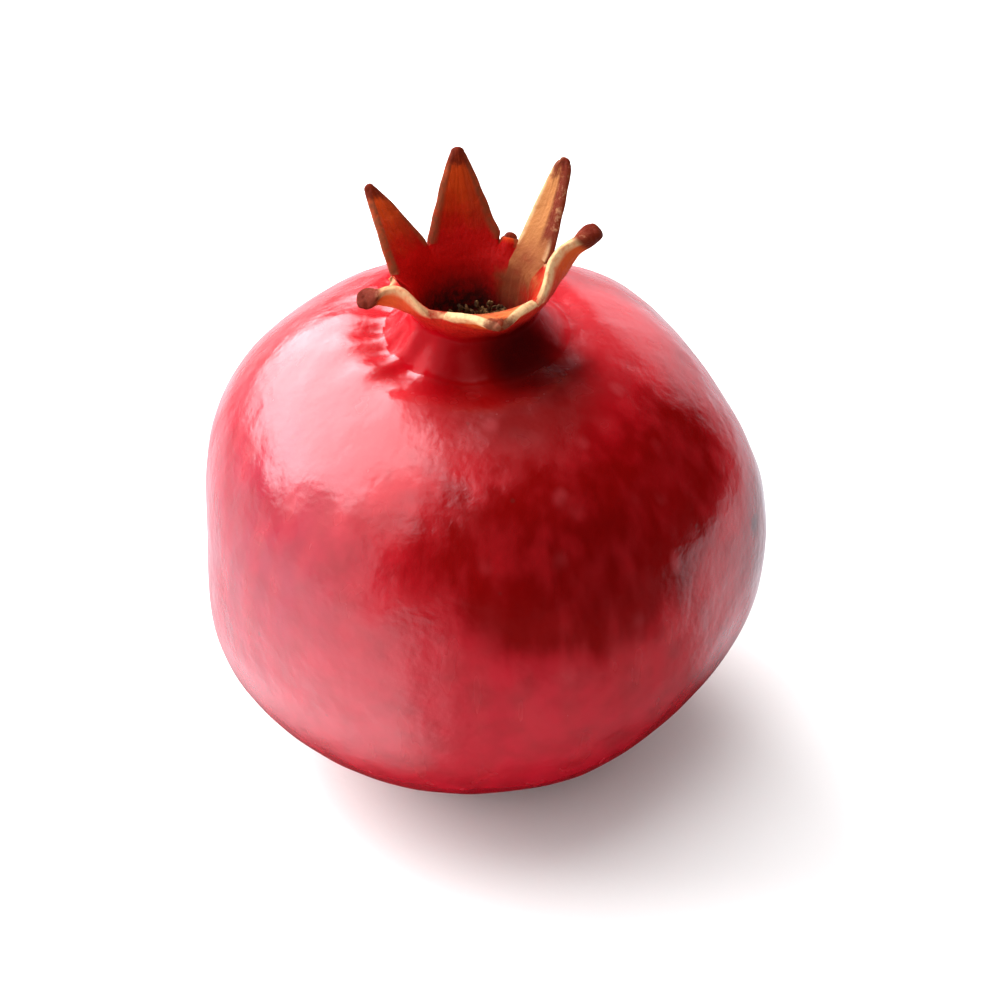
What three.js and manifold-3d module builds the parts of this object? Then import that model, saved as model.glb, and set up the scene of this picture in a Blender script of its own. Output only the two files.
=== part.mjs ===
// A ripe pomegranate, as picked, standing on its stem end. Millimetres, +Z up.
// The rind, its short neck and the open calyx crown grew as one piece, so they are one solid. The
// dried stamens and the style stand in the crown as a second one. The origin is at the middle of
// the fruit's box, on the surface that it stands on.
import * as THREE from "three";
import { mergeVertices } from "three/addons/utils/BufferGeometryUtils.js";
import Module from "manifold-3d";

// Driving dimensions of the rind.
const BODY_RADIUS = 44.8; // half the width of the plain rind
const BODY_HEIGHT = 81.2; // from the surface to the top of the rind, were there no neck
const SQUARENESS = 2.32; // exponent of the rind's outline: 2 is an ellipse, more has broader shoulders
const FOOT_RADIUS = 12.5; // outer edge of the flat ring that the fruit stands on
const SHOULDER_RADIUS = 20; // where the rind turns towards the neck

// Driving dimensions of the crown.
const NECK_RADIUS = 10.2; // the waist between the rind and the crown
const NECK_HEIGHT = 83.2;
const RIM_RADIUS = 12.2; // outside of the crown where its lobes part
const RIM_HEIGHT = 86.9;
const CUP_FLOOR = 74.5; // height of the bottom of the hollow in the crown
const CUP_RADIUS = 7; // of that bottom
const CROWN_LEAN = new THREE.Vector2(-0.4, 0); // how far the crown's rim stands off the axis
const WALL = 2.4; // thickness of the calyx tube
const MARGIN = 1.2; // thickness of a lobe at its edges
const TIP_WALL = 1.4; // thickness of a lobe near its tip
const TIP_HALF_WIDTH = 0.55;

// The six calyx lobes and a short torn one, anticlockwise from above. from and to are the azimuths
// of the notches on either side, in degrees. The tip is at an azimuth, at a distance from the
// crown's axis and at a height above the rim. flare and slope are the angles above the horizon at
// which the lobe leaves the rim and ends. twist turns its faces about its own line, all in degrees.
// taper is the exponent of its width: less keeps it wide for longer. channel deepens its hollow
// inner face, and knob is how much thicker its dried end is.
const LOBES = [
  { from: -38, to: 19, azimuth: 5, reach: 19.2, rise: 8, flare: 50, slope: 34, twist: -34, taper: 0.76, channel: 1.3, knob: 1.7 },
  { from: 19, to: 55, azimuth: 41, reach: 19.6, rise: 14.2, flare: 50, slope: 74, twist: -4, taper: 0.5, channel: 1, knob: 0 },
  { from: 55, to: 70, azimuth: 63, reach: 13.2, rise: 1.2, flare: 60, slope: 60, twist: 0, taper: 0.6, channel: 0, knob: 0 },
  { from: 70, to: 127, azimuth: 99, reach: 15, rise: 15.2, flare: 64, slope: 84, twist: 0, taper: 0.86, channel: 0.5, knob: 0 },
  { from: 127, to: 182, azimuth: 149, reach: 19, rise: 11.1, flare: 55, slope: 58, twist: 0, taper: 0.86, channel: 0.8, knob: 0 },
  { from: 182, to: 246, azimuth: 207, reach: 18.6, rise: 2.2, flare: 22, slope: 4, twist: 34, taper: 0.76, channel: 1.3, knob: 1.7 },
  { from: 246, to: 322, azimuth: 284, reach: 17.6, rise: 3.4, flare: 30, slope: 20, twist: 0, taper: 0.76, channel: 0.3, knob: 0.3 },
];

// Where the rind stands out of its plain outline or lies below it: the direction from its middle,
// in degrees, the height in millimetres, and the angle over which it fades.
const SWELLINGS = [
  { azimuth: 0, latitude: 0, height: 2.2, spread: 24 },
  { azimuth: 20, latitude: 23, height: -1.1, spread: 24 },
  { azimuth: 47, latitude: 43, height: 1.5, spread: 24 },
  { azimuth: 62, latitude: 58, height: -1.4, spread: 18 },
  { azimuth: 133, latitude: 43, height: 0.3, spread: 24 },
  { azimuth: 160, latitude: 23, height: 1.6, spread: 24 },
  { azimuth: 180, latitude: 0, height: -2.2, spread: 24 },
  { azimuth: 200, latitude: -23, height: 2.5, spread: 24 },
  { azimuth: 227, latitude: -43, height: -1.2, spread: 24 },
  { azimuth: 340, latitude: -23, height: 0.5, spread: 24 },
  { azimuth: 313, latitude: -43, height: -1.6, spread: 24 },
  { azimuth: 270, latitude: 10, height: 0.7, spread: 30 },
  { azimuth: 75, latitude: -10, height: 0.9, spread: 28 },
  { azimuth: 110, latitude: -20, height: -0.8, spread: 26 },
];
const RIDGES = 6; // soft ridges that run from stem to crown
const RIDGE_HEIGHT = 0.5;
const FOLDS = 13; // small folds that run out from the neck
const FOLD_HEIGHT = 0.4; // where they are highest
const FOLD_AZIMUTH = 215; // where that is, in degrees
const FOLD_END = 29; // radius at which the folds fade out
const HOLLOW_DEPTH = 1.4; // of the shallow hollow that the neck rises from
const HOLLOW_RADIUS = 14.5; // where the hollow is deepest
const HOLLOW_END = 21.5;

// Driving dimensions of the stamens.
const STAMENS = 56;
const MAT_RADIUS = 5.9; // the withered disc that they stand on
const MAT_THICKNESS = 1;
const FILAMENT_RADIUS = 0.42;
const ANTHER_RADIUS = 0.72;
const STAMEN_LENGTH = 4.6; // of the shortest
const STAMEN_EXTRA = 2.2; // how much longer those by the crown's +X side are
const STYLE_RADIUS = 0.95;
const STYLE_LENGTH = 5.2;
const CLEARANCE = 0.3; // gap below the mat

// Faces.
const LOBE_COLUMNS = 10; // faces across each lobe, and round the rind below it
const LOBE_ROWS = 8;
const RIND_ROWS = 24;
const NECK_ROWS = 6;
const TUBE_ROWS = 3;
const CUP_ROWS = 5;

const radians = THREE.MathUtils.degToRad;
const { lerp, smoothstep } = THREE.MathUtils;

// The rind's outline is a superellipse that the flat foot cuts off.
const FOOT_SHARE = (1 - (FOOT_RADIUS / BODY_RADIUS) ** SQUARENESS) ** (1 / SQUARENESS);
const HALF_HEIGHT = BODY_HEIGHT / (1 + FOOT_SHARE);
const MIDDLE = new THREE.Vector3(0, 0, HALF_HEIGHT * FOOT_SHARE);

// The outline from the foot to the shoulder, as radius and height.
class RindOutline extends THREE.Curve {
  getPoint(t, target = new THREE.Vector2()) {
    const start = -Math.acos((FOOT_RADIUS / BODY_RADIUS) ** (SQUARENESS / 2));
    const end = Math.acos((SHOULDER_RADIUS / BODY_RADIUS) ** (SQUARENESS / 2));
    const angle = lerp(start, end, t);
    const squared = (share) => Math.sign(share) * Math.abs(share) ** (2 / SQUARENESS);
    return target.set(BODY_RADIUS * squared(Math.cos(angle)), MIDDLE.z + HALF_HEIGHT * squared(Math.sin(angle)));
  }
}

// Points evenly along a curve, without its first one.
function along(curve, rows) {
  return curve.getSpacedPoints(rows).slice(1);
}

// The outside, as radius and height, from the middle of the stem scar to the crown's rim. The scar
// is a small socket with the broken stub of the stem in it.
function outsideProfile() {
  const scar = [
    [0, 1.7], [2.2, 1.5], [2.9, 2.1], [3.3, 3], [4.6, 2.9], [6.4, 1.4], [7.6, 0.3], [8.6, 0], [FOOT_RADIUS, 0],
  ].map(([radius, height]) => new THREE.Vector2(radius, height));
  const rind = new RindOutline();
  const shoulder = rind.getPoint(1);
  const neck = new THREE.Vector2(NECK_RADIUS, NECK_HEIGHT);
  const reach = shoulder.distanceTo(neck);
  const fillet = new THREE.CubicBezierCurve(
    shoulder,
    shoulder.clone().addScaledVector(rind.getTangent(1), 0.4 * reach),
    neck.clone().add(new THREE.Vector2(0.1 * reach, -0.3 * reach)),
    neck,
  );
  const flare = new THREE.QuadraticBezierCurve(
    neck,
    new THREE.Vector2(NECK_RADIUS, lerp(NECK_HEIGHT, RIM_HEIGHT, 0.45)),
    new THREE.Vector2(RIM_RADIUS, RIM_HEIGHT),
  );
  return [...scar, ...along(rind, RIND_ROWS), ...along(fillet, NECK_ROWS), ...along(flare, TUBE_ROWS)];
}

// The inside of the crown, from below its rim to the middle of its floor.
function insideProfile() {
  const wall = new THREE.CubicBezierCurve(
    new THREE.Vector2(RIM_RADIUS - WALL, RIM_HEIGHT),
    new THREE.Vector2(NECK_RADIUS - WALL, lerp(CUP_FLOOR, RIM_HEIGHT, 0.75)),
    new THREE.Vector2(NECK_RADIUS - WALL, lerp(CUP_FLOOR, RIM_HEIGHT, 0.1)),
    new THREE.Vector2(CUP_RADIUS, CUP_FLOOR),
  );
  return [...along(wall, CUP_ROWS), new THREE.Vector2(CUP_RADIUS / 2, CUP_FLOOR), new THREE.Vector2(0, CUP_FLOOR)];
}

// A direction from the rind's middle, in degrees.
function direction(azimuth, latitude) {
  return round(Math.cos(radians(latitude)), radians(azimuth), Math.sin(radians(latitude)));
}

// How far the rind stands out of its plain outline at a point.
function relief(point) {
  const towards = point.clone().sub(MIDDLE).normalize();
  const azimuth = Math.atan2(point.y, point.x);
  const ridges = RIDGE_HEIGHT * Math.cos(RIDGES * azimuth) * (1 - towards.z ** 2);
  const swellings = SWELLINGS.reduce((sum, { azimuth, latitude, height, spread }) => {
    const away = towards.angleTo(direction(azimuth, latitude)) / radians(spread);
    return sum + height * Math.exp(-(away ** 2));
  }, 0);
  const fromAxis = Math.hypot(point.x, point.y);
  const nearNeck = 1 - smoothstep(fromAxis, NECK_RADIUS, FOLD_END);
  const puckered = lerp(0.1, 1, (0.5 + 0.5 * Math.cos(azimuth - radians(FOLD_AZIMUTH))) ** 2);
  const folds = FOLD_HEIGHT * puckered * Math.cos(FOLDS * azimuth + 2 * Math.sin(2 * azimuth)) * nearNeck;
  const intoHollow = smoothstep(fromAxis, NECK_RADIUS, HOLLOW_RADIUS);
  const hollow = HOLLOW_DEPTH * intoHollow * (1 - smoothstep(fromAxis, HOLLOW_RADIUS, HOLLOW_END));
  const onTop = smoothstep(point.z, MIDDLE.z, BODY_HEIGHT);
  const offFoot = smoothstep(point.z, 0, 6);
  const offCrown = 1 - smoothstep(point.z, BODY_HEIGHT - 2, RIM_HEIGHT - 1);
  return (ridges + swellings + (folds - hollow) * onTop) * offFoot * offCrown;
}

// The crown leans: what lies above the rind's middle is drawn aside, most at the rim.
function lean(point) {
  const share = Math.max(0, (point.z - MIDDLE.z) / (RIM_HEIGHT - MIDDLE.z)) ** 2;
  return point.add(new THREE.Vector3(CROWN_LEAN.x * share, CROWN_LEAN.y * share, 0));
}

// A point at a radius, azimuth and height round the fruit's axis.
function round(radius, azimuth, z) {
  return new THREE.Vector3(radius * Math.cos(azimuth), radius * Math.sin(azimuth), z);
}

// A lobe's outer and inner face at u, from -1 to 1 across it, and v, from 0 at the rim to 1 at its tip.
function lobeSurface(lobe) {
  const half = radians(lobe.to - lobe.from) / 2;
  const middle = radians(lobe.from + lobe.to) / 2;
  const tip = radians(lobe.azimuth);
  const base = round(RIM_RADIUS, middle, RIM_HEIGHT);
  const end = round(lobe.reach, tip, RIM_HEIGHT + lobe.rise);
  const heading = (azimuth, rise) => round(Math.cos(radians(rise)), azimuth, Math.sin(radians(rise)));
  const third = base.distanceTo(end) / 3;
  const line = new THREE.CubicBezierCurve3(
    base,
    base.clone().addScaledVector(heading(middle, lobe.flare), third),
    end.clone().addScaledVector(heading(tip, lobe.slope), -third),
    end,
  );
  return (u, v, inside) => {
    const tangent = line.getTangent(v);
    const azimuth = lerp(middle, tip, v);
    const side = new THREE.Vector3(-Math.sin(azimuth), Math.cos(azimuth), 0);
    side.applyAxisAngle(tangent, radians(lobe.twist) * smoothstep(v, 0, 0.6));
    side.addScaledVector(tangent, -side.dot(tangent)).normalize();
    const outwards = side.clone().cross(tangent);
    const narrowing = (1 - v) ** lobe.taper;
    const knob = lobe.knob * smoothstep(v, 0.6, 0.9) * (1 - smoothstep(v, 0.92, 1.15));
    const halfWidth = lerp(TIP_HALF_WIDTH, RIM_RADIUS * Math.sin(half), narrowing) + 0.4 * knob;
    const rolled = lobe.channel * 4 * v * (1 - v);
    const sag = (RIM_RADIUS * (1 - Math.cos(half)) + rolled) * narrowing;
    const wall = lerp(lerp(WALL, TIP_WALL, v), MARGIN, u * u) + knob * (1 - 0.6 * u * u);
    const shrink = inside ? (RIM_RADIUS - MARGIN) / RIM_RADIUS : 1;
    return line
      .getPoint(v)
      .addScaledVector(side, halfWidth * shrink * u)
      .addScaledVector(outwards, knob / 2 - (inside ? wall : 0) - sag * shrink * u * u);
  };
}

// Collects points and joins rows of them with triangles.
class Skin {
  points = [];
  faces = [];

  add(point) {
    return this.points.push(point) - 1;
  }

  // Joins two rows of as many points, each run anticlockwise seen from the side that b is on.
  join(a, b) {
    for (let i = 0; i + 1 < a.length; i++) {
      this.faces.push(a[i], a[i + 1], b[i + 1], a[i], b[i + 1], b[i]);
    }
  }

  // Closes a ring of points with a fan round its middle.
  fan(ring, middle) {
    for (let i = 0; i + 1 < ring.length; i++) this.faces.push(ring[i], ring[i + 1], middle);
  }

  geometry() {
    const made = new THREE.BufferGeometry().setFromPoints(this.points);
    made.setIndex(this.faces);
    made.computeVertexNormals();
    return made;
  }
}

const closed = (row) => [...row, row[0]];
const steps = (count) => Array.from({ length: count }, (_, i) => i);

// The rind, neck and crown, as one closed skin. Each lobe grows from its own share of the rim.
function fruitGeometry() {
  const skin = new Skin();
  const azimuths = LOBES.flatMap(({ from, to }) =>
    steps(LOBE_COLUMNS).map((i) => radians(lerp(from, to, i / LOBE_COLUMNS))),
  );
  const ringAt = ({ x: radius, y: height }, place) =>
    closed(azimuths.map((azimuth) => skin.add(lean(place(round(radius, azimuth, height))))));

  const raised = (point) => point.addScaledVector(point.clone().sub(MIDDLE).normalize(), relief(point));
  const [scar, ...outside] = outsideProfile();
  const outsideRings = outside.map((at) => ringAt(at, raised));
  skin.fan(outsideRings[0].toReversed(), skin.add(round(scar.x, 0, scar.y)));
  outsideRings.slice(1).forEach((ring, i) => skin.join(outsideRings[i], ring));

  const surfaces = LOBES.map(lobeSurface);
  const across = (i) => (2 * i) / LOBE_COLUMNS - 1;
  const rim = outsideRings.at(-1);
  const insideRim = closed(
    surfaces.flatMap((surface) => steps(LOBE_COLUMNS).map((i) => skin.add(lean(surface(across(i), 0, true))))),
  );
  surfaces.forEach((surface, n) => {
    const start = n * LOBE_COLUMNS;
    let outer = rim.slice(start, start + LOBE_COLUMNS + 1);
    let inner = insideRim.slice(start, start + LOBE_COLUMNS + 1);
    for (let row = 1; row <= LOBE_ROWS; row++) {
      const v = 1 - (1 - row / LOBE_ROWS) ** 1.3;
      const place = (inside) => outer.map((_, i) => skin.add(lean(surface(across(i), v, inside))));
      const nextOuter = place(false);
      const nextInner = place(true);
      skin.join(outer, nextOuter);
      skin.join(nextInner, inner);
      skin.join([inner[0], outer[0]], [nextInner[0], nextOuter[0]]);
      skin.join([outer.at(-1), inner.at(-1)], [nextOuter.at(-1), nextInner.at(-1)]);
      outer = nextOuter;
      inner = nextInner;
    }
    skin.join(outer, inner);
  });

  const inside = insideProfile();
  const floor = inside.pop();
  const insideRings = [insideRim, ...inside.map((at) => ringAt(at, (point) => point))];
  insideRings.slice(1).forEach((ring, i) => skin.join(insideRings[i], ring));
  skin.fan(insideRings.at(-1), skin.add(lean(round(0, 0, floor.y))));
  return skin.geometry();
}

// A rod with a radius at each of some shares of a curve's length, closed at both ends.
function rod(curve, radii, sides) {
  const skin = new Skin();
  const rings = radii.map(([share, radius]) => {
    const centre = curve.getPointAt(share);
    const tangent = curve.getTangentAt(share);
    const across = new THREE.Vector3(1, 0, 0).cross(tangent).normalize();
    return closed(
      steps(sides).map((i) => {
        const spoke = across.clone().applyAxisAngle(tangent, (2 * Math.PI * i) / sides);
        return skin.add(lean(centre.clone().addScaledVector(spoke, radius)));
      }),
    );
  });
  rings.slice(1).forEach((ring, i) => skin.join(rings[i], ring));
  skin.fan(rings[0].toReversed(), skin.add(lean(curve.getPoint(0))));
  skin.fan(rings.at(-1), skin.add(lean(curve.getPoint(1))));
  return skin.geometry();
}

// Repeatable draws between 0 and 1.
function seededDraws(seed) {
  let state = seed;
  return () => {
    state = (state * 48271) % 2147483647;
    return state / 2147483647;
  };
}

// One stamen: a thin filament that bows out to the wall and back, with its anther at the end.
function stamen(index, draw) {
  const azimuth = radians(index * 137.5 + 20 * draw());
  const foot = (MAT_RADIUS - 1) * Math.sqrt((index + 0.5) / STAMENS);
  const bySide = (1 + Math.cos(azimuth)) / 2;
  const length = (STAMEN_LENGTH + STAMEN_EXTRA * bySide) * lerp(0.75, 1, draw()) * lerp(0.7, 1, foot / MAT_RADIUS);
  const turn = radians(50) * (draw() - 0.5);
  const bow = foot + lerp(0.3, 1.1, draw());
  const curve = new THREE.QuadraticBezierCurve3(
    round(foot, azimuth, CUP_FLOOR + CLEARANCE + MAT_THICKNESS / 2),
    round(bow, azimuth, CUP_FLOOR + MAT_THICKNESS + 0.6 * length),
    round(lerp(foot, bow, draw()), azimuth + turn, CUP_FLOOR + MAT_THICKNESS + length),
  );
  const radii = [
    [0, 1.3 * FILAMENT_RADIUS], [0.45, FILAMENT_RADIUS], [0.76, FILAMENT_RADIUS], [0.84, ANTHER_RADIUS],
    [1, 0.7 * ANTHER_RADIUS],
  ];
  return rod(curve, radii, 3);
}

// The style: what is left of the flower's middle, a thicker bent stub.
function style() {
  const foot = CUP_FLOOR + CLEARANCE + MAT_THICKNESS / 2;
  const curve = new THREE.QuadraticBezierCurve3(
    round(0, 0, foot),
    round(0, 0, foot + 0.6 * STYLE_LENGTH),
    round(1.4, radians(60), foot + STYLE_LENGTH),
  );
  return rod(curve, [[0, 1.5 * STYLE_RADIUS], [0.3, STYLE_RADIUS], [0.85, 0.8 * STYLE_RADIUS], [1, STYLE_RADIUS]], 7);
}

// The withered disc that the stamens and the style stand on.
function mat() {
  const bottom = CUP_FLOOR + CLEARANCE;
  const curve = new THREE.LineCurve3(round(0, 0, bottom), round(0, 0, bottom + MAT_THICKNESS));
  return rod(curve, [[0, MAT_RADIUS], [0.6, MAT_RADIUS], [1, 0.85 * MAT_RADIUS]], 20);
}

// Joins closed geometries into one.
async function fused(pieces) {
  const wasm = await Module();
  wasm.setup();
  const solids = pieces.map((piece) => {
    const bare = piece.clone().deleteAttribute("normal");
    const merged = mergeVertices(bare);
    const mesh = new wasm.Mesh({
      numProp: 3,
      vertProperties: merged.attributes.position.array,
      triVerts: new Uint32Array(merged.index.array),
    });
    return new wasm.Manifold(mesh);
  });
  const { vertProperties, triVerts } = solids.reduce((sum, solid) => sum.add(solid)).getMesh();
  const made = new THREE.BufferGeometry();
  made.setAttribute("position", new THREE.BufferAttribute(vertProperties, 3));
  made.setIndex(new THREE.BufferAttribute(triVerts, 1));
  made.computeVertexNormals();
  return made;
}

const draw = seededDraws(29);
const stamenPieces = [mat(), style(), ...steps(STAMENS).map((index) => stamen(index, draw))];

const fruit = new THREE.Mesh(
  fruitGeometry(),
  new THREE.MeshStandardMaterial({ color: 0xa3121c, roughness: 0.35, metalness: 0 }),
);
fruit.name = "fruit";

const stamens = new THREE.Mesh(
  await fused(stamenPieces),
  new THREE.MeshStandardMaterial({ color: 0x9c6a35, roughness: 0.8, metalness: 0 }),
);
stamens.name = "stamens";

const pomegranate = new THREE.Group();
pomegranate.add(fruit, stamens);
const box = new THREE.Box3().setFromObject(fruit);
const centre = box.getCenter(new THREE.Vector3());
pomegranate.position.set(-centre.x, -centre.y, -box.min.z);

export default pomegranate;
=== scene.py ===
"""A ripe pomegranate on a pale floor in soft studio light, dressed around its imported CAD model.

The rind, neck and calyx crown are one skin, made by the same formulas as the CAD solid but with
many more faces, rounded margins and fine relief. The dried stamens in the crown are thinner than
the solid's, and there are more of them. Shapes are worked out in millimetres and turned into
metres as meshes are made.
"""
import math

import bpy
import numpy as np
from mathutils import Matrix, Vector, noise


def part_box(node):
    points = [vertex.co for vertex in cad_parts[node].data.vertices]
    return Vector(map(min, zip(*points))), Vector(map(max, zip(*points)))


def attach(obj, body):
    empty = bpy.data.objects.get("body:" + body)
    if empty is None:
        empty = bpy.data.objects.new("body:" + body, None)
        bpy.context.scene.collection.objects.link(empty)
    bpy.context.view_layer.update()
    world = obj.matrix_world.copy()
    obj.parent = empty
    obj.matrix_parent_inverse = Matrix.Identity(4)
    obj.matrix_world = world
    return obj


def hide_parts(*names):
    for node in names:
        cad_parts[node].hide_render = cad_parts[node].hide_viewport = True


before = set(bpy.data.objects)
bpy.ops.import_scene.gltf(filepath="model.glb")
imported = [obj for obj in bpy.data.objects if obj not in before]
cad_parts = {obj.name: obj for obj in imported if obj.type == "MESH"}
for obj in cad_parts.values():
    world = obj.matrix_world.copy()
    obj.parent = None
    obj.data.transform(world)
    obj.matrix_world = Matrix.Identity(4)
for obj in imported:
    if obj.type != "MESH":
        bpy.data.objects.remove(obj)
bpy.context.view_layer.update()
MM = 0.001

# Driving dimensions of the rind, as in the CAD model.
BODY_RADIUS = 44.8
BODY_HEIGHT = 81.2
SQUARENESS = 2.32
FOOT_RADIUS = 12.5
SHOULDER_RADIUS = 20
STEM_SCAR = [
    (0, 1.7), (2.2, 1.5), (2.9, 2.1), (3.3, 3), (4.6, 2.9),
    (6.4, 1.4), (7.6, 0.3), (8.6, 0), (FOOT_RADIUS, 0),
]

# Driving dimensions of the crown, as in the CAD model.
NECK_RADIUS = 10.2
NECK_HEIGHT = 83.2
RIM_RADIUS = 12.2
RIM_HEIGHT = 86.9
CUP_FLOOR = 74.5
CUP_RADIUS = 7
CROWN_LEAN = (-0.4, 0)
WALL = 2.4
MARGIN = 1.2
TIP_WALL = 1.4
TIP_HALF_WIDTH = 0.55

# The calyx lobes, as in the CAD model, with how far each has dried to a pale tan, from 0 to 1, and
# how much of it is burnt brown at its clockwise side.
LOBE_FIELDS = (
    "start", "end", "azimuth", "reach", "rise", "flare", "slope",
    "twist", "taper", "channel", "knob", "dry", "burnt",
)
LOBES = [dict(zip(LOBE_FIELDS, row)) for row in (
    (-38, 19, 5, 19.2, 8, 50, 34, -34, 0.76, 1.3, 1.7, 0.62, 0),
    (19, 55, 41, 19.6, 14.2, 50, 74, -4, 0.5, 1, 0, 1, 1),
    (55, 70, 63, 13.2, 1.2, 60, 60, 0, 0.6, 0, 0, 0.2, 0),
    (70, 127, 99, 15, 15.2, 64, 84, 0, 0.86, 0.5, 0, 0, 0.3),
    (127, 182, 149, 19, 11.1, 55, 58, 0, 0.86, 0.8, 0, 0.1, 0.3),
    (182, 246, 207, 18.6, 2.2, 22, 4, 34, 0.76, 1.3, 1.7, 0.5, 0),
    (246, 322, 284, 17.6, 3.4, 30, 20, 0, 0.76, 0.3, 0.3, 0.7, 0),
)]

# How far the dry side of the cup is turned from that of the lobes, in radians.
DRY_TURN = 0.3

# Swellings of the rind, as in the CAD model: azimuth, latitude, height, spread.
SWELLINGS = [
    (0, 0, 2.2, 24), (20, 23, -1.1, 24), (47, 43, 1.5, 24), (62, 58, -1.4, 18), (133, 43, 0.3, 24),
    (160, 23, 1.6, 24), (180, 0, -2.2, 24), (200, -23, 2.5, 24), (227, -43, -1.2, 24),
    (340, -23, 0.5, 24), (313, -43, -1.6, 24), (270, 10, 0.7, 30), (75, -10, 0.9, 28),
    (110, -20, -0.8, 26),
]

# Ridges down the rind, soft folds that lead to the neck, most at one azimuth, and the shallow
# hollow that the neck rises from, as in the CAD model.
RIDGES = 6
RIDGE_HEIGHT = 0.5
FOLDS = 13
FOLD_HEIGHT = 0.4
FOLD_AZIMUTH = 215
FOLD_END = 29
HOLLOW_DEPTH = 1.4
HOLLOW_RADIUS = 14.5
HOLLOW_END = 21.5

# Finer relief of the rind, as height, size and seed, and how high the creases by the neck are.
UNDULATIONS = [(0.4, 17, 1), (0.14, 6, 2)]
CREASE_HEIGHT = 0.1
CORK_ROUGHNESS = 0.25
CUP_RIB_HEIGHT = 0.2

# Driving dimensions of the stamens, as in the CAD model, and the thinner ones between them.
STAMENS = 56
MAT_RADIUS = 5.9
MAT_THICKNESS = 1
FILAMENT_RADIUS = 0.42
STAMEN_LENGTH = 4.6
STAMEN_EXTRA = 2.2
STYLE_RADIUS = 0.95
STYLE_LENGTH = 5.2
CLEARANCE = 0.3
THIN_STAMENS = 70
STAMEN_SEED = 29
THIN_SEED = 47
GOLDEN_ANGLE = 137.5
GOLDEN_SHARE = 0.618

# Colours.
RIND_BRIGHT = (0.41, 0.0015, 0.007)
# Painted shade that dulls the red on the window-lit left side.
RIND_PAINTED_DIM = (0.25, 0.003, 0.018)
# Deeper reds, partly the rind's own crimson and partly painted shade.
RIND_DEEP_AND_SHADE = (0.17, 0.0005, 0.0006)
RIND_DEEPEST_AND_SHADE = (0.13, 0.0004, 0.0005)
# Maroon: a painted shadow at the neck's foot, and also a real blemish.
MAROON_SHADOW_AND_BLEMISH = (0.05, 0.0003, 0.0004)
# A paler flush, partly the rind's own and partly painted bounce light from the floor.
RIND_FLUSH_AND_BOUNCE = (0.44, 0.005, 0.018)
# A rosy painted light for the shoulder beside the neck, where the top light falls.
RIND_PAINTED_LIGHT_ROSE = (0.55, 0.012, 0.02)
LENTICEL = (0.50, 0.07, 0.08)
RUSSET = (0.10, 0.012, 0.010)
CALYX_RED = (0.42, 0.010, 0.006)
CALYX_ORANGE = (0.52, 0.075, 0.014)
CALYX_DEEP = (0.34, 0.0015, 0.0008)
CALYX_RUST = (0.45, 0.045, 0.004)
CALYX_PALE = (0.38, 0.145, 0.044)
CALYX_TAN = (0.64, 0.40, 0.20)
CALYX_DARK = (0.10, 0.008, 0.002)
CALYX_BURNT = (0.13, 0.018, 0.006)
CALYX_BROWN = (0.20, 0.04, 0.014)
# Painted shade deep in the crown's cup.
CUP_PAINTED_SHADE = (0.035, 0.006, 0.004)
BARK = (0.30, 0.19, 0.11)
BARK_DARK = (0.10, 0.055, 0.03)

# Specular levels.
RIND_GLOSS = 0.5
LEATHER_GLOSS = 0.04
DRIED_GLOSS = 0.1

# Sides of the rind, as azimuth and elevation: its deepest red with two arms of it, partly its
# own crimson and partly painted shade away from the window; the shoulder dulled by painted shade
# where the window light falls; the bright flush below, partly its own and partly painted bounce
# light from the floor; and most of the lenticels.
DEEP_AND_SHADED_SIDE = (-66, 29)
DEEP_AND_SHADED_EDGES = [(-34, 38), (-6, 6)]
PAINTED_DIM_SIDE = (-150, 10)
FLUSH_AND_BOUNCE_SIDE = (-95, -25)
LENTICEL_SIDE = (-38, 42)

# Patches of the rind, in millimetres: middle, radius of full colour, radius where it ends, colour.
# The middle of the crown's painted shadow at the neck's foot.
NECK_SHADOW_PATCH = (7.5, -10.5, 81)
PATCHES = [
    # A rosy painted light on the shoulder beside the neck.
    ((19, 4, 78), 8, 19, RIND_PAINTED_LIGHT_ROSE),
    # A wider painted shade of deep red round the crown's shadow.
    ((5, -16, 79), 9, 21, RIND_DEEP_AND_SHADE),
    # The crown's painted shadow, in maroon.
    (NECK_SHADOW_PATCH, 5, 13, MAROON_SHADOW_AND_BLEMISH),
    ((43, -11, 49), 2, 4.6, MAROON_SHADOW_AND_BLEMISH),
]

# The faint blue of whatever the fruit mirrors.
MIRRORED_TINT = (0.98, 0.97, 1.05, 1)

# What the fruit mirrors of the floor, as radiance, at its dullest and brightest and in the pool in
# front, with the azimuths of its brightest side and of the middle of its dark front, the front's
# width in degrees and how soft its edge is in radians.
FLOOR_GLOW = (1.1, 2.4)
FRONT_GLOW = 0.25
BRIGHTEST_AZIMUTH = -130
FRONT_AZIMUTH = -57
FRONT_WIDTH = 94
FRONT_EDGE = 0.26

# Faces of the skin.
LOBE_COLUMNS = 38
LOBE_ROWS = 34
MARGIN_COLUMNS = 5
TIP_ROWS = 4
SCAR_STEPS = 5
RIND_ROWS = 150
NECK_ROWS = 26
TUBE_ROWS = 12
CUP_ROWS = 26


# ---------------------------------------------------------------- arithmetic on arrays of points


def smoothstep(x, low, high):
    t = np.clip((x - low) / (high - low), 0, 1)
    return t * t * (3 - 2 * t)


def lerp(a, b, t):
    return a + (b - a) * t


def unit(vectors):
    return vectors / np.linalg.norm(vectors, axis=-1, keepdims=True)


def bezier(controls, t):
    """Points of a Bezier curve at each t."""
    order = len(controls) - 1
    t = np.asarray(t, float)[..., None]
    shares = [math.comb(order, k) * (1 - t) ** (order - k) * t**k for k in range(order + 1)]
    return sum(share * np.asarray(point, float) for share, point in zip(shares, controls))


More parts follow.
